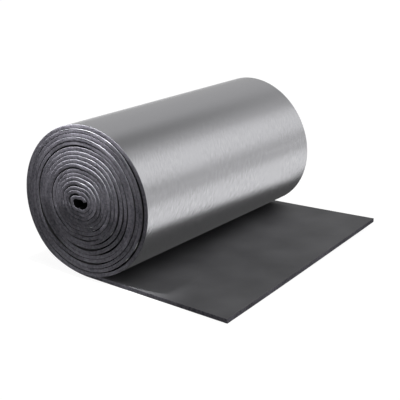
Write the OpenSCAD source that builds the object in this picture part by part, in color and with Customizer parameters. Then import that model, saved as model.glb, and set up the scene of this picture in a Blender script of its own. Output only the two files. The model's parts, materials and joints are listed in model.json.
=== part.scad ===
// Roll of foil-faced foam insulation, lying on its side with its free end laid out flat.
// The sheet leaves the roll underneath. The foil is therefore outside on the roll and under
// the free end, and the bare foam is on top of the free end and inside every turn.
// The roll lies along X, the free end runs towards -Y, and the floor is Z = 0.

/* [Sheet] */
// Width of the sheet, which is the length of the roll
sheet_w = 1000; // [600:50:1500]
// Thickness of the sheet, foam and foil together
sheet_t = 15; // [10:1:25]
// Thickness of the foil facing
foil_t = 0.4; // [0.3:0.1:1]
// Length laid out flat, from under the roll's axis to the cut end
free_l = 535; // [300:5:1200]

/* [Roll] */
// Outer diameter of the roll
roll_d = 525; // [400:5:650]
// Diameter of the bore inside the first turn
bore_d = 44; // [30:2:80]
// Air gap between one turn and the next
turn_gap = 0.4; // [0.2:0.1:1]

/* [Turns at the roll's ends] */
// How far each cut edge of a turn is rubbed off
edge_soft = 1.5; // [0.5:0.1:3]
// How deep the gap between two turns is open
gap_depth = 6; // [2:0.5:15]
// Foam left between the bore and the first open gap
bore_land = 3; // [1:0.5:6]

/* [Hidden] */
$fn = 128;
foam_colour = "#3f3f43";
foil_colour = "#b4b4b8";

// The turns are half circles about two axes, half a pitch apart, so that they wind in as a
// true spiral: those behind the axes end where those in front begin.
pitch = sheet_t + turn_gap;
back_r = roll_d / 2;
front_r = back_r - pitch / 2;
back_axis_z = back_r;
front_axis_z = back_r + pitch / 2;
bore_r = bore_d / 2;

// The roll's place along Y puts the middle of the whole object over the origin.
axis_y = (free_l - back_r) / 2;

// Radius of the middle of the gap inside turn k, counted from the outside of one half
function gap_r(outer_r, k) = outer_r - k * pitch - sheet_t - turn_gap / 2;

// Half the width of a gap's open mouth
mouth = turn_gap / 2 + edge_soft;

// Gaps behind the axes that clear the bore; those in front are one fewer
back_gaps = floor((gap_r(back_r, 0) - mouth - bore_r - bore_land) / pitch) + 1;
front_gaps = back_gaps - 1;

// Outline of one end of a half roll, from its axis outwards, with the open gaps cut in.
// side is 1 for the end at +X and -1 for the end at -X.
function end_outline(outer_r, gaps, side) = concat(
    [[0, side * sheet_w / 2]],
    [for (k = [gaps - 1:-1:0])
        let (r = gap_r(outer_r, k))
        for (p = [[-mouth, 0], [-turn_gap / 2, gap_depth], [turn_gap / 2, gap_depth], [mouth, 0]])
            [r + p[0], side * (sheet_w / 2 - p[1])]],
    [[outer_r - foil_t, side * sheet_w / 2]]);

function reversed(list) = [for (i = [len(list) - 1:-1:0]) list[i]];

// Turns a profile of [radius, X] through half a circle, behind the axis or in front of it
module half_turn(axis_z, in_front) {
    translate([0, axis_y, axis_z])
        rotate([0, 90, 0])
            rotate([0, 0, in_front ? 180 : 0])
                rotate_extrude(angle = 180)
                    children();
}

// One half of the wound foam, turned in one piece with its gaps at both ends
module wound_half(outer_r, axis_z, gaps, in_front) {
    half_turn(axis_z, in_front)
        polygon(concat(
            end_outline(outer_r, gaps, -1),
            reversed(end_outline(outer_r, gaps, 1))));
}

// One half of the foil around the roll
module foil_half(outer_r, axis_z, in_front) {
    half_turn(axis_z, in_front)
        translate([outer_r - foil_t, -sheet_w / 2])
            square([foil_t, sheet_w]);
}

// A flat layer of the free end, between two heights
module free_layer(low, high) {
    translate([-sheet_w / 2, axis_y - free_l, low])
        cube([sheet_w, free_l, high - low]);
}

module bore() {
    translate([-sheet_w / 2 - bore_land, axis_y, back_axis_z])
        rotate([0, 90, 0])
            cylinder(r = bore_r, h = sheet_w + 2 * bore_land);
}

// The foam: the wound roll and the free end that leaves it, one continuous sheet
module foam_sheet() {
    color(foam_colour)
        difference() {
            union() {
                wound_half(back_r, back_axis_z, back_gaps, false);
                wound_half(front_r, front_axis_z, front_gaps, true);
                free_layer(foil_t, sheet_t);
            }
            bore();
        }
}

// The foil: once round the outside of the roll and under the free end
module foil_facing() {
    color(foil_colour) {
        foil_half(back_r, back_axis_z, false);
        foil_half(front_r, front_axis_z, true);
        free_layer(0, foil_t);
    }
}

foam_sheet();
foil_facing();
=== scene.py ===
"""Dresses a roll of foil-faced rubber foam insulation, with its free end laid out on the floor.

The sheet is wound by a Geometry Nodes tree, once for the foam and once for the foil, then settled
into the slightly slack, leaning shape of a real roll. Lengths are metres unless a name says mm.
"""
import json
import logging
import math
from dataclasses import dataclass
from enum import Enum
from typing import Any, Optional

import bpy
import numpy as np
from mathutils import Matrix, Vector


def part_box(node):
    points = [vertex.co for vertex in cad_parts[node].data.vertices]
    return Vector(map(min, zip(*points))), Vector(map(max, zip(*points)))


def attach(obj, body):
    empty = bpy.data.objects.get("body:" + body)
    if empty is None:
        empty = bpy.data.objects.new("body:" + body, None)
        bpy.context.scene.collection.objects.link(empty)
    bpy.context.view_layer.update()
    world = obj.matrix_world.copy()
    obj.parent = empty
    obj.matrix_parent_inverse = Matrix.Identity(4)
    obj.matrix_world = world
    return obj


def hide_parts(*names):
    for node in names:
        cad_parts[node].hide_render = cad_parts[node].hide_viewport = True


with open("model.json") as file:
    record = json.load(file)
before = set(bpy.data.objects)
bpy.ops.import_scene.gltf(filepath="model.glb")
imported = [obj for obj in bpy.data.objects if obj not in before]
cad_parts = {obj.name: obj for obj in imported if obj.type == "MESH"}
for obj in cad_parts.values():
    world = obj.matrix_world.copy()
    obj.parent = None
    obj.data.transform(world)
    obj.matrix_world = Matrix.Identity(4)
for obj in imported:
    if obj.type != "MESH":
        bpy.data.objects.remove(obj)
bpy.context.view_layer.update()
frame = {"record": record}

LOG = logging.getLogger("insulation_roll")
MM = 0.001
TURN = 2 * math.pi
NOISE = "ShaderNodeTexNoise"
BUMP = "ShaderNodeBump"
MIX = "ShaderNodeMix"
SLAB_END = 0.4999  # past this on the even slab, a point is on one of its two ends
ALL_CUT = 0.99  # a face whose points average more than this is on a cut edge
HAIR = 1e-7  # closer than this is on the face itself
NOISE_SPAN = (0.3, 0.7)  # levels that hold nearly all of a noise pattern
WHITE = (1.0, 1.0, 1.0, 1.0)
STORE = "GeometryNodeStoreNamedAttribute"
SET_MATERIAL = "GeometryNodeSetMaterial"
Socket = bpy.types.NodeSocket
Tree = bpy.types.NodeTree
Material = bpy.types.Material


def linear(hex_colour: str) -> tuple[float, float, float, float]:
    """Turns an sRGB hex colour into linear red, green, blue and alpha.

    Args:
        hex_colour: six hex digits after a hash sign.

    Returns:
        The linear colour, with an alpha of 1.
    """
    parts = [int(hex_colour[i:i + 2], 16) / 255 for i in (1, 3, 5)]
    light = [c / 12.92 if c <= 0.04045 else ((c + 0.055) / 1.055) ** 2.4 for c in parts]
    return (*light, 1.0)


def add_node(tree: Tree, kind: str, inputs: Optional[dict] = None, **settings: Any) -> Any:
    """Adds a node, with its settings, and sets or links its inputs.

    Args:
        tree: the node tree that gets the node.
        kind: the node's type name.
        inputs: socket name or index to a plain value, or to the socket that is linked to it.
        settings: the node's own properties.

    Returns:
        The node's first enabled output, or the node itself where it has none.
    """
    node = tree.nodes.new(kind)
    for name, value in settings.items():
        setattr(node, name, value)
    sockets = [socket for socket in node.inputs if socket.enabled]
    for key, value in (inputs or {}).items():
        socket = sockets[key] if isinstance(key, int) else next(s for s in sockets if s.name == key)
        if isinstance(value, Socket):
            tree.links.new(value, socket)
        else:
            socket.default_value = value
    return next((socket for socket in node.outputs if socket.enabled), node)


def calc(tree: Tree, operation: str, *terms: Any) -> Socket:
    """Adds a maths node on sockets or plain numbers, and returns its result."""
    return add_node(tree, "ShaderNodeMath", dict(enumerate(terms)), operation=operation)


def ramp(tree: Tree, value: Socket, start: Any, end: Any, low: Any = 0.0, high: Any = 1.0,
         eased: bool = False) -> Socket:
    """Maps a value onto a ramp that stays level past both its ends.

    Args:
        tree: the node tree that gets the node.
        value: the value.
        start: where the ramp starts, as a socket or a number, like the next three.
        end: where the ramp ends.
        low: the result at its start.
        high: the result at its end.
        eased: whether it eases in and out.

    Returns:
        The result.
    """
    return add_node(tree, "ShaderNodeMapRange", {"Value": value, "From Min": start, "From Max": end,
                                                 "To Min": low, "To Max": high},
                    interpolation_type="SMOOTHSTEP" if eased else "LINEAR")


def blend(tree: Tree, factor: Socket, first: Any, second: Any) -> Socket:
    """Mixes two colours, each a socket or a linear colour, and returns the mix."""
    return add_node(tree, MIX, {"Factor": factor, "A": first, "B": second}, data_type="RGBA")


def new_material(name: str) -> tuple[Material, Tree, bpy.types.Node]:
    """Makes an empty material and returns it with its tree and its shader node."""
    made = bpy.data.materials.new(name)
    made.use_nodes = True
    return made, made.node_tree, made.node_tree.nodes["Principled BSDF"]


def drift(values: np.ndarray, wavelength: float, seed: int) -> np.ndarray:
    """Smooth random drift along a line, made of three sine waves with fixed phases.

    Args:
        values: places along the line.
        wavelength: the longest wave, in the unit of values.
        seed: picks the phases.

    Returns:
        A value from about -1 to 1 for each place.
    """
    phases = np.random.default_rng(seed).uniform(0, TURN, 3)
    waves = [np.sin(TURN * values * rate / wavelength + p) for rate, p in zip((1.0, 1.7, 2.9), phases)]
    return (waves[0] + 0.6 * waves[1] + 0.4 * waves[2]) / 2


def smooth_step(low: float, high: float, values: np.ndarray) -> np.ndarray:
    """Eases from 0 at low to 1 at high, as a smooth step."""
    t = np.clip((values - low) / (high - low), 0, 1)
    return t * t * (3 - 2 * t)


class Layer(Enum):
    """The two layers of the laminated sheet."""

    FOAM = "foam"
    FOIL = "foil"


@dataclass(frozen=True)
class FoamSkin:
    """Nitrile rubber foam as it leaves the oven: a closed, matt charcoal skin, softly mottled."""

    dark: str = "#444446"
    light: str = "#545456"
    roughness: float = 0.62
    mottle_mm: float = 150.0
    grain_mm: float = 4.0  # the real grain is under 1 mm, so it is drawn coarser to show
    grain_high_mm: float = 0.5
    grain_bump: float = 0.25
    specular: float = 0.35
    core: str = "#0c0c0d"  # painted shade: the innermost face, blackened so the bore looks dark inside

    def material(self) -> Material:
        """Builds the skin's material and returns it."""
        made, tree, shader = new_material("foam_moulded_skin")
        place = tree.nodes.new("ShaderNodeTexCoord").outputs["Object"]
        mottle = add_node(tree, NOISE, {"Vector": place, "Scale": 1 / (self.mottle_mm * MM),
                                        "Detail": 3.0, "Roughness": 0.4})
        grain = add_node(tree, NOISE, {"Vector": place, "Scale": 1 / (self.grain_mm * MM),
                                       "Detail": 2.0})
        spread = ramp(tree, mottle, *NOISE_SPAN)
        colour = blend(tree, spread, linear(self.dark), linear(self.light))
        # painted shade: the innermost turn's face is blackened so the bore looks deep and unlit
        painted_light_share = add_node(tree, "ShaderNodeAttribute", attribute_name="core").node.outputs["Fac"]
        colour = blend(tree, painted_light_share, colour, linear(self.core))
        bump = add_node(tree, BUMP, {"Height": grain, "Strength": self.grain_bump,
                                     "Distance": self.grain_high_mm * MM})
        tree.links.new(colour, shader.inputs["Base Color"])
        tree.links.new(bump, shader.inputs["Normal"])
        shader.inputs["Roughness"].default_value = self.roughness
        shader.inputs["Specular IOR Level"].default_value = self.specular
        return made


@dataclass(frozen=True)
class FoamCut:
    """Nitrile rubber foam cut by a blade: open cells, so speckled and quite matt."""

    dark: str = "#434248"
    light: str = "#75737b"
    roughness: float = 0.85
    cell_mm: float = 9.0  # the real cells are about 0.8 mm, so they are drawn coarser to show
    cell_high_mm: float = 0.8
    cell_bump: float = 0.5
    patch_mm: float = 120.0  # how far the blade ran before it dragged again
    patch_share: float = 0.8
    contrast: tuple[float, float] = (0.68, 1.12)  # pattern levels that are all dark and all light
    specular: float = 0.25

    def material(self) -> Material:
        """Builds the cut edge's material and returns it."""
        made, tree, shader = new_material("foam_cut_cells")
        place = tree.nodes.new("ShaderNodeTexCoord").outputs["Object"]
        cells = add_node(tree, NOISE, {"Vector": place, "Scale": 1 / (self.cell_mm * MM), "Detail": 3.0,
                                       "Roughness": 0.7})
        lay = add_node(tree, "ShaderNodeAttribute", attribute_name="lay").node.outputs["Vector"]
        patches = add_node(tree, NOISE, {"Vector": lay, "Scale": 1 / (self.patch_mm * MM),
                                         "Detail": 2.0})
        mixed = calc(tree, "MULTIPLY_ADD", patches, self.patch_share, cells)
        spread = ramp(tree, mixed, *self.contrast)
        colour = blend(tree, spread, linear(self.dark), linear(self.light))
        bump = add_node(tree, BUMP, {"Height": cells, "Strength": self.cell_bump,
                                     "Distance": self.cell_high_mm * MM})
        tree.links.new(colour, shader.inputs["Base Color"])
        tree.links.new(bump, shader.inputs["Normal"])
        shader.inputs["Roughness"].default_value = self.roughness
        shader.inputs["Specular IOR Level"].default_value = self.specular
        return made


@dataclass(frozen=True)
class FoilFacing:
    """Aluminium foil laminated to the foam: satin, with fine crinkles that lean across the winding."""

    name: str = "aluminium_foil_satin"
    dark: str = "#bcbcbf"
    light: str = "#cacacd"
    roughness: float = 0.26
    metallic: float = 1.0
    crinkle_wide_mm: float = 6.5
    crinkle_long_mm: float = 26.0
    crinkle_slant_deg: float = 20.0
    crinkle_high_mm: float = 0.5
    crinkle_bump: float = 0.7
    patch_mm: float = 160.0
    patch_range: tuple[float, float] = (0.24, 0.5)  # pattern levels with no and with full crinkles
    smooth_length: float = 0.9  # the first stretch that is wound, up to the roll's top, stayed smooth
    easing_length: float = 0.35  # the crinkles grow over this length after it
    smooth_share: float = 0.1  # how much of them the smooth stretch has
    painted_glint_colour: str = "#f4f4f6"  # painted highlight: where the foil is painted bright as glints

    def material(self) -> Material:
        """Builds the foil's material and returns it."""
        made, tree, shader = new_material(self.name)
        lay = add_node(tree, "ShaderNodeAttribute", attribute_name="lay").node.outputs["Vector"]
        turned = (0.0, 0.0, math.radians(self.crinkle_slant_deg))
        size = (self.crinkle_wide_mm * MM, self.crinkle_long_mm * MM, 1.0)
        stretched = add_node(tree, "ShaderNodeMapping", {"Vector": lay, "Rotation": turned,
                                                         "Scale": size}, vector_type="TEXTURE")
        crinkle = add_node(tree, NOISE, {"Vector": stretched, "Scale": 1.0, "Detail": 2.0})
        wave = ramp(tree, crinkle, *NOISE_SPAN, -0.5, 0.5)
        patch = add_node(tree, NOISE, {"Vector": lay, "Scale": 1 / (self.patch_mm * MM),
                                       "Detail": 1.0})
        patch = ramp(tree, patch, *self.patch_range)
        length = add_node(tree, "ShaderNodeSeparateXYZ", {0: lay}).node.outputs["Y"]
        pressed = ramp(tree, length, self.smooth_length, self.smooth_length + self.easing_length,
                       self.smooth_share)
        amount = calc(tree, "MULTIPLY", patch, pressed)
        height = calc(tree, "MULTIPLY", wave, amount)
        tone = calc(tree, "ADD", height, 0.5)
        colour = blend(tree, tone, linear(self.dark), linear(self.light))
        # painted highlight: glints painted onto the foil where the stored share says
        painted_light_share = add_node(tree, "ShaderNodeAttribute", attribute_name="painted_glint").node.outputs["Fac"]
        colour = blend(tree, painted_light_share, colour, linear(self.painted_glint_colour))
        bump = add_node(tree, BUMP, {"Height": height, "Strength": self.crinkle_bump,
                                     "Distance": self.crinkle_high_mm * MM})
        tree.links.new(colour, shader.inputs["Base Color"])
        tree.links.new(bump, shader.inputs["Normal"])
        shader.inputs["Metallic"].default_value = self.metallic
        shader.inputs["Roughness"].default_value = self.roughness
        return made


@dataclass(frozen=True)
class EndShape:
    """How one end of the roll departs from a true spiral.

    Attributes:
        lean: how far the end tips along the roll, for each metre up.
        slew: how far the end turns along the roll, for each metre back.
        swell: change of radius, as a share of it.
        tall: oval share along the upright and level axes.
        askew: oval share along the slanting axes.
        shift: how far the top moves back.
    """

    lean: float
    slew: float
    swell: float
    tall: float
    askew: float
    shift: float


@dataclass(frozen=True)
class FreeEnd:
    """How the laid-out end departs from a flat rectangle.

    Attributes:
        near_root: sideways move of the near edge where it leaves the roll.
        far_root: sideways move of the far edge where it leaves the roll.
        near_tip: sideways move of the near corner.
        far_tip: sideways move of the far corner.
        near_reach: extra length at the near corner.
        far_reach: extra length at the far corner.
        far_lift: how far the far corner curls off the floor.
    """

    near_root: float
    far_root: float
    near_tip: float
    far_tip: float
    near_reach: float
    far_reach: float
    far_lift: float


@dataclass(frozen=True)
class Stretch:
    """A stretch of one turn where something shows on the near end, such as a gap or a line of foil.

    Attributes:
        turn: which turn, where 0 is the outermost.
        clock: hour at the middle of the stretch, as seen on the near end.
        hours: how far it reaches each way.
        share: how strong it is.
    """

    turn: int
    clock: float
    hours: float
    share: float

    def weight(self, angle: np.ndarray) -> np.ndarray:
        """How strong the stretch is at each winding angle."""
        middle = TURN * self.turn + ((self.clock - 6) / 12 % 1) * TURN
        reach = np.clip((angle - middle) / (self.hours / 12 * TURN), -1, 1)
        return self.share * (0.5 + 0.5 * np.cos(math.pi * reach))


@dataclass(frozen=True)
class Lattice:
    """How many points a layer of the sheet gets, before it is wound.

    Attributes:
        columns: points across the sheet.
        edge_columns: steps across the strip along each edge.
        edge_strip: width of that strip.
        levels: points through the thickness.
        edge_levels: steps through the strip at each face.
        level_strip: thickness of that strip.
    """

    columns: int
    edge_columns: int
    edge_strip: float
    levels: int
    edge_levels: int
    level_strip: float


@dataclass
class WoundSheet:
    """The sheet that makes the whole object: foam with a foil facing, wound up with the foil outside."""

    width: float
    radius: float
    axis_y: float
    free_length: float
    bore_radius: float
    foil_thick: float
    sheet_thick: float = 15.0 * MM
    wound_thick: float = 12.8 * MM
    pitch: float = 14.3 * MM
    slide_steps_mm: tuple[float, ...] = (0.0, 2.9, -0.2, 3.1, -0.2, -0.1, 2.9, 2.9, 2.9, 2.6, -0.2, 0.1,
                                         3.0, 2.6, 0.4, 0.8, 0.9, 0.9, 0.9)
    stations: int = 1700
    free_share: float = 0.045
    sway: float = 1.0 * MM
    sway_rate: float = 1.3
    sway_turns: tuple[float, float] = (0.75, 1.5)  # where the sway starts and is full
    kink: float = 1.2 * MM
    kink_turns: float = 7.0  # how many turns at the core have flats and corners
    kink_waves: tuple[tuple[float, float, float], ...] = ((3.0, 0.5, 0.7), (5.0, 1.9, 0.8))
    bore_shade_turns: tuple[float, float] = (1.6, 1.0)  # turns from the core: the painted bore shade starts, and is full
    core_back: float = 1.0 * MM
    core_down: float = -6.0 * MM
    core_sag: float = 5.3 * MM
    edge_soft: float = 0.8 * MM
    edge_bulge: float = 0.15 * MM
    foil_bend: float = 2.4 * MM
    foil_short: float = 0.8 * MM
    foil_short_inside: float = 1.4 * MM
    line_wave: float = 0.45  # longest angle between two breaks in a line of foil
    line_breaks: tuple[float, float] = (-0.8, 0.2)  # drift that is a full break, and none
    line_least: float = 0.6  # share of the foil that is left in a full break
    foil_curl: float = 0.9  # how far round the edge the drawn foil goes, as a share of a right angle
    foil_in_turns: tuple[float, float] = (0.85, 1.1)  # where the foil starts to end shorter and does
    tight_gap: float = 0.1  # strength of a gap where no loose spot is
    gap_drift: float = 0.06
    gap_wave: float = 2.6
    gap_ease: float = 0.6  # angle over which the gaps open and close at the two ends of the sheet
    lift_powers: tuple[float, float] = (1.3, 1.2)  # how the far corner's curl gathers across and along
    seed: float = 3.0
    near: EndShape = EndShape(lean=0.0178, slew=-0.0445, swell=0.0, tall=-0.0012, askew=0.0045,
                              shift=6.2 * MM)
    far: EndShape = EndShape(lean=-0.04, slew=0.066, swell=-0.0034, tall=-0.0027, askew=-0.0132,
                             shift=-1.7 * MM)
    free_end: FreeEnd = FreeEnd(near_root=5.4 * MM, far_root=23.6 * MM, near_tip=-3.9 * MM,
                                far_tip=19.7 * MM, near_reach=29.5 * MM, far_reach=5.6 * MM,
                                far_lift=19.9 * MM)
    gaps: tuple[Stretch, ...] = (
        Stretch(0, 3.5, 2.4, 5.4), Stretch(2, 3.2, 1.7, 2.0), Stretch(4, 9.6, 3.4, 4.6),
        Stretch(3, 9.8, 2.2, 0.9), Stretch(1, 4.4, 1.5, 1.0), Stretch(4, 3.8, 2.2, 4.2),
        Stretch(5, 4.0, 2.0, 2.8), Stretch(6, 3.6, 2.2, 4.2), Stretch(5, 5.9, 1.3, 0.9),
        Stretch(6, 6.0, 1.3, 0.9), Stretch(7, 5.8, 1.4, 0.9), Stretch(3, 6.0, 1.8, 0.8),
        Stretch(2, 5.4, 1.6, 0.8), Stretch(1, 6.2, 1.3, 0.5), Stretch(8, 5.6, 1.4, 0.6),
        Stretch(9, 9.8, 2.9, 3.8), Stretch(9, 4.1, 1.5, 2.6), Stretch(13, 10.2, 2.3, 3.8),
        Stretch(15, 10.0, 2.2, 8.0), Stretch(12, 4.0, 1.6, 0.6))
    foil_lines: tuple[Stretch, ...] = (
        Stretch(1, 11.9, 1.9, 1.1), Stretch(3, 12.0, 1.7, 1.1), Stretch(6, 12.0, 1.6, 0.8),
        Stretch(7, 12.2, 1.7, 0.9), Stretch(8, 12.0, 1.6, 0.8), Stretch(9, 12.0, 1.5, 0.7),
        Stretch(11, 12.2, 1.4, 0.6), Stretch(12, 12.3, 1.6, 1.1), Stretch(13, 12.2, 1.4, 0.9),
        Stretch(1, 3.9, 0.35, 1.2), Stretch(1, 4.4, 0.3, 0.8), Stretch(7, 4.1, 0.25, 0.6),
        Stretch(8, 4.8, 0.25, 0.7), Stretch(10, 5.0, 0.4, 0.9), Stretch(11, 5.0, 0.4, 0.9),
        Stretch(10, 6.8, 0.4, 0.6))
    # painted highlights: stretches of turns where the foil is painted bright as glints
    painted_glints: tuple[Stretch, ...] = (
        Stretch(1, 12.85, 0.2, 0.3), Stretch(1, 12.2, 0.7, 0.08), Stretch(3, 12.75, 0.35, 0.12),
        Stretch(7, 12.5, 0.3, 0.1), Stretch(12, 12.9, 0.35, 0.14), Stretch(13, 12.4, 0.35, 0.1),
        Stretch(1, 3.9, 0.2, 1.0), Stretch(1, 4.4, 0.15, 0.8), Stretch(7, 4.1, 0.15, 0.8),
        Stretch(8, 4.75, 0.15, 0.8), Stretch(10, 5.0, 0.3, 0.9), Stretch(11, 5.0, 0.3, 0.9),
        Stretch(10, 6.8, 0.35, 0.6))

    @classmethod
    def from_frame(cls) -> "WoundSheet":
        """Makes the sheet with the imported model's own sizes."""
        low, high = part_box("foil_facing")
        foam_low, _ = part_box("foam_sheet")
        bore = next(m for m in frame["record"]["mounts"] if m["name"] == "bore")
        radius = high.z / 2
        axis_y = high.y - radius
        return cls(width=high.x - low.x, radius=radius, axis_y=axis_y, free_length=axis_y - low.y,
                   bore_radius=bore["dims"]["r_mm"] * MM, foil_thick=foam_low.z)

    @property
    def wind_radius(self) -> float:
        """Radius at the start of the spiral, which is also the height of its axis."""
        return self.radius + self.pitch / 4

    @property
    def turns(self) -> float:
        """How many turns fit, with the last one round a bore of the right mean size."""
        return (self.wind_radius - self.bore_radius - self.wound_thick) / self.pitch + 0.5

    def winding_tree(self) -> Tree:
        """Builds the tree that winds one layer of the sheet, from its free end to the core.

        Returns:
            The node tree, with a named input for each size.
        """
        tree = bpy.data.node_groups.new("wind_sheet", "GeometryNodeTree")
        kinds = {"Face Material": "Material", "Edge Material": "Material", "Stations": "Int",
                 "Columns": "Int", "Levels": "Int"}
        for name in ("Face Material", "Edge Material", "Stations", "Columns", "Levels", "Width",
                     "Thickness", "Depth", "Radius", "Axis Y", "Pitch", "Turns", "Free Length",
                     "Free Share", "Edge Strip", "Edge Share", "Edge Width", "Level Strip",
                     "Level Share", "Sway", "Kink", "Seed"):
            tree.interface.new_socket(name, in_out="INPUT",
                                      socket_type="NodeSocket" + kinds.get(name, "Float"))
        tree.interface.new_socket("Geometry", in_out="OUTPUT", socket_type="NodeSocketGeometry")
        given = tree.nodes.new("NodeGroupInput").outputs

        def from_edge(coordinate: Socket, size: Socket, strip: Socket,
                      share: Socket) -> tuple[Socket, Socket]:
            """Spreads points from -1 to 1 over a size, with more of them in a strip at each edge.

            Args:
                coordinate: the even coordinate.
                size: the real size.
                strip: width of the strip.
                share: share of the points that go to the strip.

            Returns:
                The distance from the nearer edge, and the place from the middle.
            """
            off = calc(tree, "ABSOLUTE", coordinate)
            even = calc(tree, "SUBTRACT", 1.0, off)
            half = calc(tree, "MULTIPLY", size, 0.5)
            field = calc(tree, "SUBTRACT", half, strip)
            outer = ramp(tree, even, 0.0, share, 0.0, strip)
            inner = ramp(tree, even, share, 1.0, 0.0, field)
            inset = calc(tree, "ADD", outer, inner)
            side = calc(tree, "SIGN", coordinate)
            out = calc(tree, "SUBTRACT", half, inset)
            return inset, calc(tree, "MULTIPLY", side, out)

        # the flat slab: X across, Y from the free end to the core, Z from the foil's side inwards
        slab = add_node(tree, "GeometryNodeMeshCube", {"Size": (2.0, 1.0, 2.0),
                                                       "Vertices X": given["Columns"],
                                                       "Vertices Y": given["Stations"],
                                                       "Vertices Z": given["Levels"]})
        place = add_node(tree, "GeometryNodeInputPosition")
        flat = add_node(tree, "ShaderNodeSeparateXYZ", {0: place}).node.outputs
        along = calc(tree, "ADD", flat["Y"], 0.5)
        inset, across = from_edge(flat["X"], given["Width"], given["Edge Strip"], given["Edge Share"])
        _, level = from_edge(flat["Z"], given["Thickness"], given["Level Strip"], given["Level Share"])
        into = calc(tree, "MULTIPLY_ADD", given["Thickness"], 0.5, level)

        # how far along: run is left lying on the floor, turn counts the turns wound
        laid = ramp(tree, along, 0.0, given["Free Share"], 1.0, 0.0)
        run = calc(tree, "MULTIPLY", laid, given["Free Length"])
        wound = ramp(tree, along, given["Free Share"], 1.0)
        eased = calc(tree, "MULTIPLY_ADD", wound, wound, wound)
        halves = calc(tree, "MULTIPLY", eased, given["Turns"])
        turn = calc(tree, "MULTIPLY", halves, 0.5)
        angle = calc(tree, "MULTIPLY", turn, TURN)

        # the radius: a steady spiral, with flats and corners near the core
        spiral = calc(tree, "MULTIPLY", turn, given["Pitch"])
        face = calc(tree, "SUBTRACT", given["Radius"], given["Depth"])
        sunk = calc(tree, "SUBTRACT", face, into)
        steady = calc(tree, "SUBTRACT", sunk, spiral)
        core_start = calc(tree, "SUBTRACT", given["Turns"], self.kink_turns)
        core = ramp(tree, turn, core_start, given["Turns"], eased=True)
        flats = 0.0
        for sides, phase, part in self.kink_waves:
            lobes = calc(tree, "MULTIPLY_ADD", angle, sides, phase)
            wave = calc(tree, "COSINE", lobes)
            flats = calc(tree, "MULTIPLY_ADD", wave, part, flats)
        kinked = calc(tree, "MULTIPLY", flats, given["Kink"])
        reach = calc(tree, "MULTIPLY_ADD", kinked, core, steady)

        # the place in the end view
        sine = calc(tree, "SINE", angle)
        cosine = calc(tree, "COSINE", angle)
        back = calc(tree, "MULTIPLY_ADD", reach, sine, given["Axis Y"])
        y = calc(tree, "SUBTRACT", back, run)
        drop = calc(tree, "MULTIPLY", reach, cosine)
        z = calc(tree, "SUBTRACT", given["Radius"], drop)

        # each turn sways a little to one side
        seeded = calc(tree, "ADD", turn, given["Seed"])
        sway_noise = add_node(tree, NOISE, {"W": seeded, "Scale": self.sway_rate, "Detail": 1.0},
                              noise_dimensions="1D")
        inside = ramp(tree, turn, *self.sway_turns, eased=True)
        swaying = calc(tree, "SUBTRACT", sway_noise, 0.5)
        swayed = calc(tree, "MULTIPLY", swaying, given["Sway"])
        x = calc(tree, "MULTIPLY_ADD", swayed, inside, across)

        # the length along the sheet, for patterns that run with the winding
        outer_arc = calc(tree, "MULTIPLY", given["Radius"], angle)
        half_spiral = calc(tree, "MULTIPLY", spiral, -0.5)
        arc = calc(tree, "MULTIPLY_ADD", half_spiral, angle, outer_arc)
        length = calc(tree, "SUBTRACT", arc, run)

        # the cut edges: both sides, and the two ends of the sheet
        at_side = calc(tree, "LESS_THAN", inset, given["Edge Width"])
        at_middle = calc(tree, "ABSOLUTE", flat["Y"])
        at_end = calc(tree, "GREATER_THAN", at_middle, SLAB_END)
        cut = calc(tree, "MAXIMUM", at_side, at_end)
        # painted shade for the bore: a share that grows over the innermost turn
        bore_shade_from, bore_shade_full = (calc(tree, "SUBTRACT", given["Turns"], turns)
                              for turns in self.bore_shade_turns)
        painted_light_share = ramp(tree, turn, bore_shade_from, bore_shade_full)

        shape = slab
        for name, value in (("wind_angle", angle), ("laid_run", run), ("edge_inset", inset),
                            ("level", into), ("cut_edge", cut), ("core", painted_light_share)):
            shape = add_node(tree, STORE, {"Geometry": shape, "Name": name, "Value": value})
        lay = add_node(tree, "ShaderNodeCombineXYZ", {"X": across, "Y": length})
        shape = add_node(tree, STORE, {"Geometry": shape, "Name": "lay", "Value": lay},
                         data_type="FLOAT_VECTOR")
        wound_place = add_node(tree, "ShaderNodeCombineXYZ", {"X": x, "Y": y, "Z": z})
        shape = add_node(tree, "GeometryNodeSetPosition", {"Geometry": shape, "Position": wound_place})
        shape = add_node(tree, "GeometryNodeSetShadeSmooth", {"Geometry": shape})
        shape = add_node(tree, "GeometryNodeRealizeInstances", {"Geometry": shape})
        shape = add_node(tree, SET_MATERIAL, {"Geometry": shape, "Material": given["Face Material"]})
        stored = add_node(tree, "GeometryNodeInputNamedAttribute", {"Name": "cut_edge"})
        whole = add_node(tree, "FunctionNodeCompare", {"A": stored, "B": ALL_CUT},
                         operation="GREATER_THAN")
        shape = add_node(tree, SET_MATERIAL, {"Geometry": shape, "Selection": whole,
                                              "Material": given["Edge Material"]})
        add_node(tree, "NodeGroupOutput", {"Geometry": shape})
        return tree

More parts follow.
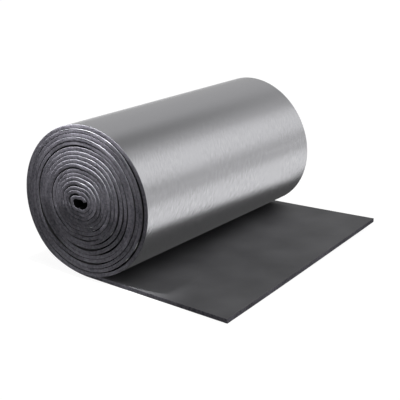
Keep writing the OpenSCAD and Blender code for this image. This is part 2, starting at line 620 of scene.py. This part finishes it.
    def wind(self, tree: Tree, name: str, lattice: Lattice, depth: float, thick: float, face: Material,
             edge: Material, edge_width: float) -> bpy.types.Mesh:
        """Winds one layer and returns it as a plain mesh.

        Args:
            tree: the winding tree.
            name: the piece's name.
            lattice: the layer's points.
            depth: how far the layer lies under the sheet's outer face.
            thick: the layer's thickness.
            face: material of the two faces.
            edge: material of the cut edges.
            edge_width: how far that material reaches from each edge.

        Returns:
            The wound layer.
        """
        values = {"Face Material": face, "Edge Material": edge, "Stations": self.stations,
                  "Columns": lattice.columns, "Levels": lattice.levels, "Width": self.width,
                  "Thickness": thick, "Depth": depth, "Radius": self.wind_radius, "Axis Y": self.axis_y,
                  "Pitch": self.pitch, "Turns": self.turns,
                  "Free Length": self.free_length, "Free Share": self.free_share,
                  "Edge Strip": lattice.edge_strip, "Edge Width": edge_width,
                  "Edge Share": 2 * lattice.edge_columns / (lattice.columns - 1),
                  "Level Strip": lattice.level_strip,
                  "Level Share": 2 * lattice.edge_levels / (lattice.levels - 1),
                  "Sway": 2 * self.sway, "Kink": self.kink, "Seed": self.seed}
        former = bpy.data.objects.new("former_" + name, bpy.data.meshes.new("former"))
        bpy.context.scene.collection.objects.link(former)
        modifier = former.modifiers.new("wind", "NODES")
        modifier.node_group = tree
        for item in tree.interface.items_tree:
            if item.in_out == "INPUT":
                modifier[item.identifier] = values[item.name]
        graph = bpy.context.evaluated_depsgraph_get()
        mesh = bpy.data.meshes.new_from_object(former.evaluated_get(graph))
        bpy.data.objects.remove(former)
        mesh.name = name
        return mesh

    def read(self, mesh: bpy.types.Mesh, name: str) -> np.ndarray:
        """Reads one number for each point of a mesh."""
        values = np.empty(len(mesh.vertices), np.float32)
        mesh.attributes[name].data.foreach_get("value", values)
        return values.astype(float)

    def slack(self, angle: np.ndarray) -> np.ndarray:
        """How far each turn lies inside its place in the steady spiral, for the loose and tight spots.

        Args:
            angle: winding angles.

        Returns:
            The inward move at each angle.
        """
        steps = 360
        least = 1e-6  # keeps the sum of the gaps over zero
        count = int(math.ceil(self.turns))
        grid = np.arange(count * steps) * TURN / steps
        loose = sum(gap.weight(grid) for gap in self.gaps)
        wish = self.tight_gap + self.gap_drift * (1 + drift(grid, self.gap_wave, seed=5)) + loose
        last = TURN * count
        wish *= smooth_step(0, self.gap_ease, grid) * smooth_step(last, last - self.gap_ease, grid)
        wish = wish.reshape(count, steps) + least
        bearing = np.arange(steps) * TURN / steps
        spare = (self.pitch - self.wound_thick) * count
        room = (spare - self.core_back * np.sin(bearing) - self.core_down * np.cos(bearing)
                + self.core_sag * np.cos(2 * bearing))
        gaps = room * wish / wish.sum(0)
        inner = np.vstack([np.zeros(steps), np.cumsum(gaps, 0)]).ravel()
        far_grid = np.arange(len(inner)) * TURN / steps
        steady = (self.pitch - self.wound_thick) * angle / TURN
        return np.interp(angle, far_grid, inner) - steady

    def slide(self, angle: np.ndarray) -> np.ndarray:
        """How far each turn has slid out of the near end, in uneven steps from one turn to the next.

        Args:
            angle: winding angles.

        Returns:
            The move towards the near end at each angle.
        """
        tops = TURN * (np.arange(len(self.slide_steps_mm)) + 0.5)
        return np.interp(angle, tops, np.cumsum(self.slide_steps_mm) * MM)

    def foil_shows(self, angle: np.ndarray) -> np.ndarray:
        """How far the foil is drawn over the sheet's edge, from 0 to 1, in broken lines."""
        drawn = sum(line.weight(angle) for line in self.foil_lines)
        whole = smooth_step(*self.line_breaks, drift(angle, self.line_wave, seed=11))
        return np.clip(drawn, 0, 1) * (self.line_least + (1 - self.line_least) * whole)

    def soften(self, foil: bool, angle: np.ndarray, inset: np.ndarray, level: np.ndarray,
               thick: float) -> tuple[np.ndarray, np.ndarray]:
        """Rounds the sheet's edges, with the foil drawn over the foam or ending short of the bend.

        Args:
            foil: whether the layer is the foil.
            angle: winding angles.
            inset: distance of each point from the sheet's edge, along its face.
            level: distance of each point from the layer's outer face.
            thick: the layer's thickness.

        Returns:
            The new insets and levels.
        """
        shows = self.foil_shows(angle)
        over = self.edge_soft + (self.foil_bend - self.edge_soft) * shows
        quarter = math.pi / 2
        if foil:
            strip = self.foil_bend
            part = np.clip(inset / strip, 0, 1)
            bend = quarter * (1 - self.foil_curl * shows * (1 - part))
            reach = over + thick - level
            starts, ends = self.foil_in_turns
            inside = smooth_step(starts * TURN, ends * TURN, angle)
            short = (self.foil_short + self.foil_short_inside * inside) * (1 - shows)
            arc_inset = over - reach * np.cos(bend) + short * part
            arc_level = over + thick - reach * np.sin(bend)
            half = self.width / 2
            flat_inset = over + short + (inset - strip) * (half - over - short) / (half - strip)
            in_arc = inset < strip
            return np.where(in_arc, arc_inset, flat_inset), np.where(in_arc, arc_level, level)
        new_inset, new_level = inset.copy(), level.copy()
        for outer, rounding in ((True, over), (False, np.full_like(over, self.edge_soft))):
            away = level if outer else thick - level
            on_face = (away < HAIR) & (inset < rounding)
            on_side = (inset < HAIR) & (away < rounding)
            bend = quarter / 2 * np.where(on_face, 1 + inset / rounding, 1 - away / rounding)
            moved = on_face | on_side
            turned = rounding * (1 - np.sin(bend))
            new_inset = np.where(moved, rounding * (1 - np.cos(bend)), new_inset)
            new_level = np.where(moved, turned if outer else thick - turned, new_level)
        bulge = self.edge_bulge * np.sin(math.pi * level / thick)
        return np.where(inset < HAIR, new_inset - bulge, new_inset), new_level

    def settle(self, mesh: bpy.types.Mesh, foil: bool, thick: float, wound_thick: float) -> None:
        """Gives a wound layer the slack, lean and skew of the real roll, and lays out its free end.

        Args:
            mesh: the layer, which is changed in place.
            foil: whether the layer is the foil.
            thick: the layer's thickness in the free end.
            wound_thick: its thickness in the roll, where it is pressed.
        """
        names = ("wind_angle", "laid_run", "edge_inset", "level")
        angle, run, inset, level = [self.read(mesh, name) for name in names]
        for name in (*names, "cut_edge"):
            mesh.attributes.remove(mesh.attributes[name])
        spots = np.empty(len(mesh.vertices) * 3, np.float32)
        mesh.vertices.foreach_get("co", spots)
        x, y, z = spots.reshape(-1, 3).astype(float).T

        new_inset, new_level = self.soften(foil, angle, inset, level, thick)
        x = x - np.sign(x) * (new_inset - inset) - self.slide(angle)
        pressed = smooth_step(0, TURN / 4, angle)
        inward = new_level * (1 + (wound_thick / thick - 1) * pressed) - level + self.slack(angle)
        y = y - np.sin(angle) * inward
        z = z + np.cos(angle) * inward

        far = np.clip(x / self.width + 0.5, 0, 1)
        shape = {name: getattr(self.near, name) * (1 - far) + getattr(self.far, name) * far
                 for name in ("lean", "slew", "swell", "tall", "askew", "shift")}
        stretch = shape["swell"] + shape["tall"] * np.cos(2 * angle) + shape["askew"] * np.sin(2 * angle)
        risen = (1 - np.cos(np.minimum(angle, math.pi))) / 2
        y = y + (y - self.axis_y + run) * stretch + shape["shift"] * risen
        z = z + (z - self.wind_radius) * stretch + self.wind_radius * (shape["swell"] + shape["tall"])

        tip = run / self.free_length
        end = self.free_end
        root = end.near_root * (1 - far) + end.far_root * far
        corner = end.near_tip * (1 - far) + end.far_tip * far
        leaning = shape["lean"] * (z - self.radius) + shape["slew"] * (y - self.axis_y)
        in_roll = smooth_step(0, TURN / 8, angle)
        x = x + (root * (1 - tip) + corner * tip) * (1 - in_roll) + leaning * in_roll
        y = y - (end.near_reach * (1 - far) + end.far_reach * far) * tip
        z = z + end.far_lift * far ** self.lift_powers[0] * tip ** self.lift_powers[1]
        mesh.vertices.foreach_set("co", np.stack([x, y, z], 1).astype(np.float32).ravel())
        if foil:
            # painted highlight: the share of glint colour at each point
            painted_glint = mesh.attributes.new("painted_glint", "FLOAT", "POINT")
            bright = np.clip(sum(glint.weight(angle) for glint in self.painted_glints), 0, 1)
            painted_glint.data.foreach_set("value", bright.astype(np.float32))

    def build(self) -> list[bpy.types.Object]:
        """Builds and dresses both layers.

        Returns:
            The foam and the foil.
        """
        tree = self.winding_tree()
        skin, cut, metal = FoamSkin().material(), FoamCut().material(), FoilFacing().material()
        # where the foil is drawn over the edge it is creased dull, so it scatters more than it mirrors
        drawn = FoilFacing(name="aluminium_foil_drawn_edge", dark="#48484c", light="#5e5e62",
                           roughness=0.7, metallic=0.3).material()
        foam_grid = Lattice(columns=17, edge_columns=3, edge_strip=self.foil_bend, levels=9,
                            edge_levels=3, level_strip=self.foil_bend)
        foil_grid = Lattice(columns=25, edge_columns=5, edge_strip=self.foil_bend, levels=2,
                            edge_levels=0, level_strip=0.0)
        margin = 0.01 * MM  # takes in the points that lie right on a strip's border
        foam_thick = self.sheet_thick - self.foil_thick
        foam_wound = self.wound_thick - self.foil_thick
        pieces = []
        for layer, node, grid, depth, thick, wound, face, edge, edge_width in (
                (Layer.FOAM, "foam_sheet", foam_grid, self.foil_thick, foam_thick, foam_wound, skin, cut,
                 margin),
                (Layer.FOIL, "foil_facing", foil_grid, 0.0, self.foil_thick, self.foil_thick, metal,
                 drawn, self.foil_bend + margin)):
            mesh = self.wind(tree, "wound_" + layer.value, grid, depth, thick, face, edge, edge_width)
            self.settle(mesh, layer is Layer.FOIL, thick, wound)
            piece = bpy.data.objects.new("wound_" + layer.value, mesh)
            bpy.context.scene.collection.objects.link(piece)
            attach(piece, "root")
            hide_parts(node)
            pieces.append(piece)
        return pieces


@dataclass(frozen=True)
class SoftLamp:
    """A rectangular soft box that the foil doesn't mirror.

    Attributes:
        name: its name.
        place: its middle.
        aim: the point that it faces.
        width: its side along the roll.
        depth: its side across the roll.
        spread_deg: how far its beam opens, where 180 is a bare panel.
        power: its power in watts.
    """

    name: str
    place: tuple[float, float, float]
    aim: tuple[float, float, float]
    width: float
    depth: float
    spread_deg: float
    power: float

    def build(self) -> None:
        """Adds the lamp to the scene."""
        data = bpy.data.lights.new(self.name, "AREA")
        data.shape = "RECTANGLE"
        data.size = self.width
        data.size_y = self.depth
        data.spread = math.radians(self.spread_deg)
        data.energy = self.power
        lamp = bpy.data.objects.new(self.name, data)
        lamp.location = self.place
        lamp.rotation_mode = "QUATERNION"
        lamp.rotation_quaternion = (Vector(self.aim) - Vector(self.place)).to_track_quat("-Z", "Y")
        lamp.visible_glossy = False
        bpy.context.scene.collection.objects.link(lamp)


@dataclass
class Studio:
    """The plain room round the object: floor, walls, lamps, a reflector and the camera."""

    floor_side: float = 120.0
    floor_colour: str = "#6a6a6a"
    floor_glow: float = 0.91
    floor_height: float = -0.5 * MM
    wall_level: float = 0.505
    ceiling_level: float = 0.165
    ceiling_slope: float = 0.9
    ceiling_edge: tuple[float, float] = (1.29, 1.35)  # raised heights: end of the wall, all ceiling
    window_level: float = 1.05
    window_way: tuple[float, float, float] = (0.75, -0.51, 0.38)
    window_edge_deg: tuple[float, float] = (21.0, 6.0)  # its outside, and where it is full
    wall_shade: float = 0.32  # level of the wall that the near end faces
    wall_shade_reach: float = 0.4
    wall_mirror: float = 0.75  # how far that shade is lifted in what metal mirrors
    card_dark: float = 0.082
    card_white: float = 0.45
    card_outer: float = 0.6
    card_edge_near: tuple[float, float] = (-0.254, -0.247)
    card_edge_far: tuple[float, float] = (0.544, -0.147)
    card_edge_soft: tuple[float, float] = (0.025, 0.045)  # inside and outside the edge
    card_corner: float = 0.06
    card_corner_span: tuple[float, float] = (0.56, 0.8)
    card_fade: float = 2.2  # the white is all faded at this many times its own width
    card_low: tuple[float, float, float] = (-0.6, -4.0, 0.2)
    card_high: tuple[float, float, float] = (4.0, 0.03, 18.0 * MM)
    sky_power: float = 1.55
    sky_angle_deg: float = 48.0
    sky_way: tuple[float, float, float] = (0.05, 0.3, -0.95)
    end_lamp: SoftLamp = SoftLamp(name="end_soft_box", place=(-0.535, 0.16, 0.95),
                                  aim=(-0.535, 0.16, 0.3), width=0.03, depth=0.32,
                                  spread_deg=38.0, power=3.0)
    sensor_mm: float = 36.0
    lens_mm: float = 81.56
    camera_place: tuple[float, float, float] = (-2.5246, -1.8191, 1.2172)
    camera_turn_deg: float = -53.56
    camera_rise_deg: float = 18.62

    def level_sheet(self, name: str, low: tuple[float, float, float], high: tuple[float, float, float],
                    material: Material) -> bpy.types.Object:
        """Lays a rectangle that isn't part of the object, tilted where its corners differ in height.

        Args:
            name: its name.
            low: its corner at the lowest X and Y.
            high: its corner at the highest X and Y.
            material: its material.

        Returns:
            The rectangle's object.
        """
        mesh = bpy.data.meshes.new(name)
        corners = [low, (high[0], low[1], low[2]), high, (low[0], high[1], high[2])]
        mesh.from_pydata(corners, [], [(0, 1, 2, 3)])
        mesh.materials.append(material)
        sheet = bpy.data.objects.new(name, mesh)
        bpy.context.scene.collection.objects.link(sheet)
        return sheet

    def floor(self) -> None:
        """Lays a grey floor that shows as white, and keeps the object's shadow."""
        paint, tree, shader = new_material("floor_white")
        shader.inputs["Base Color"].default_value = linear(self.floor_colour)
        shader.inputs["Roughness"].default_value = 1.0
        shader.inputs["Specular IOR Level"].default_value = 0.0
        shader.inputs["Emission Color"].default_value = WHITE
        path = tree.nodes.new("ShaderNodeLightPath").outputs
        seen = path["Is Camera Ray"]
        for ray in ("Is Glossy Ray", "Is Transmission Ray"):
            seen = calc(tree, "MAXIMUM", seen, path[ray])
        glow = calc(tree, "MULTIPLY", seen, self.floor_glow)
        tree.links.new(glow, shader.inputs["Emission Strength"])
        half, height = self.floor_side / 2, self.floor_height
        self.level_sheet("floor", (-half, -half, height), (half, half, height), paint)

    def reflector(self) -> None:
        """Holds a glowing card over the free end, dark inside and pale outside, that only reflections
        show: a painted reflection that the foil mirrors in place of the free end and floor.
        """
        card, tree, shader = new_material("reflector_card")
        place = tree.nodes.new("ShaderNodeTexCoord").outputs["Object"]
        near, far = Vector(self.card_edge_near), Vector(self.card_edge_far)
        along = (far - near).normalized()
        outwards = Vector((along.y, -along.x, 0.0))
        edge = outwards.to_2d().dot(near)
        distance = add_node(tree, "ShaderNodeVectorMath", {0: place, 1: outwards},
                            operation="DOT_PRODUCT")
        spread = add_node(tree, "ShaderNodeSeparateXYZ", {0: place})
        corner = ramp(tree, spread, *self.card_corner_span, 0.0, self.card_corner, eased=True)
        distance = calc(tree, "SUBTRACT", distance, corner)
        inner = ramp(tree, distance, edge - self.card_edge_soft[0], edge + self.card_edge_soft[1],
                     self.card_dark, 1.0, eased=True)
        outer = ramp(tree, distance, edge + self.card_white, edge + self.card_fade * self.card_white,
                     1.0, self.card_outer, eased=True)
        glow = calc(tree, "MULTIPLY", inner, outer)
        shader.inputs["Base Color"].default_value = (0.0, 0.0, 0.0, 1.0)
        shader.inputs["Specular IOR Level"].default_value = 0.0
        shader.inputs["Emission Color"].default_value = WHITE
        tree.links.new(glow, shader.inputs["Emission Strength"])
        under = tree.nodes.new("ShaderNodeNewGeometry").outputs["Backfacing"]
        over = calc(tree, "SUBTRACT", 1.0, under)
        tree.links.new(over, shader.inputs["Alpha"])
        sheet = self.level_sheet("reflector", self.card_low, self.card_high, card)
        sheet.visible_camera = False
        sheet.visible_diffuse = False
        sheet.visible_shadow = False
        sheet.visible_transmission = False

    def walls(self) -> None:
        """Lights the room with pale grey walls, a darker ceiling and one bright window."""
        world = bpy.data.worlds.new("room")
        bpy.context.scene.world = world
        world.use_nodes = True
        tree = world.node_tree
        way = tree.nodes.new("ShaderNodeTexCoord").outputs["Generated"]
        parts = add_node(tree, "ShaderNodeSeparateXYZ", {0: way}).node.outputs
        raised = calc(tree, "MULTIPLY_ADD", parts["X"], self.ceiling_slope, parts["Z"])
        level = ramp(tree, raised, *self.ceiling_edge, self.wall_level, self.ceiling_level, eased=True)
        window = Vector(self.window_way).normalized()
        facing = add_node(tree, "ShaderNodeVectorMath", {0: way, 1: window}, operation="DOT_PRODUCT")
        outside, full = (math.cos(math.radians(edge)) for edge in self.window_edge_deg)
        glow = ramp(tree, facing, outside, full, eased=True)
        shade = ramp(tree, parts["X"], -self.wall_shade_reach, self.wall_shade_reach, self.wall_shade,
                     eased=True)
        mirrored = tree.nodes.new("ShaderNodeLightPath").outputs["Is Glossy Ray"]
        lift = calc(tree, "MULTIPLY", mirrored, self.wall_mirror)
        shade = add_node(tree, MIX, {"Factor": lift, "A": shade, "B": 1.0})
        shaded = calc(tree, "MULTIPLY", level, shade)
        lit = add_node(tree, MIX, {"Factor": glow, "A": shaded, "B": self.window_level})
        tree.links.new(lit, tree.nodes["Background"].inputs["Strength"])
        tree.nodes["Background"].inputs["Color"].default_value = WHITE

    def skylight(self) -> None:
        """Adds one broad, even light from above, which leaves only soft shadows."""
        data = bpy.data.lights.new("skylight", "SUN")
        data.energy = self.sky_power
        data.angle = math.radians(self.sky_angle_deg)
        lamp = bpy.data.objects.new("skylight", data)
        lamp.rotation_mode = "QUATERNION"
        lamp.rotation_quaternion = Vector(self.sky_way).to_track_quat("-Z", "Y")
        bpy.context.scene.collection.objects.link(lamp)

    def camera(self) -> None:
        """Places the camera at the photograph's viewing angle."""
        data = bpy.data.cameras.new("camera")
        data.lens = self.lens_mm
        data.sensor_width = self.sensor_mm
        turn, rise = math.radians(self.camera_turn_deg), math.radians(self.camera_rise_deg)
        level = math.cos(rise)
        ahead = Vector((-math.sin(turn) * level, math.cos(turn) * level, -math.sin(rise)))
        camera = bpy.data.objects.new("camera", data)
        camera.location = self.camera_place
        camera.rotation_mode = "QUATERNION"
        camera.rotation_quaternion = ahead.to_track_quat("-Z", "Y")
        bpy.context.scene.collection.objects.link(camera)
        bpy.context.scene.camera = camera

    def build(self) -> None:
        """Builds the whole room."""
        self.camera()
        self.floor()
        self.reflector()
        self.walls()
        self.skylight()
        self.end_lamp.build()
        bpy.context.scene.view_settings.view_transform = "Standard"


def main() -> None:
    """Builds the room and the roll, and reports each piece."""
    logging.basicConfig(level=logging.INFO, format="%(name)s: %(message)s")
    Studio().build()
    for piece in WoundSheet.from_frame().build():
        LOG.info("%s has %d faces", piece.name, len(piece.data.polygons))


if __name__ == "__main__":
    main()
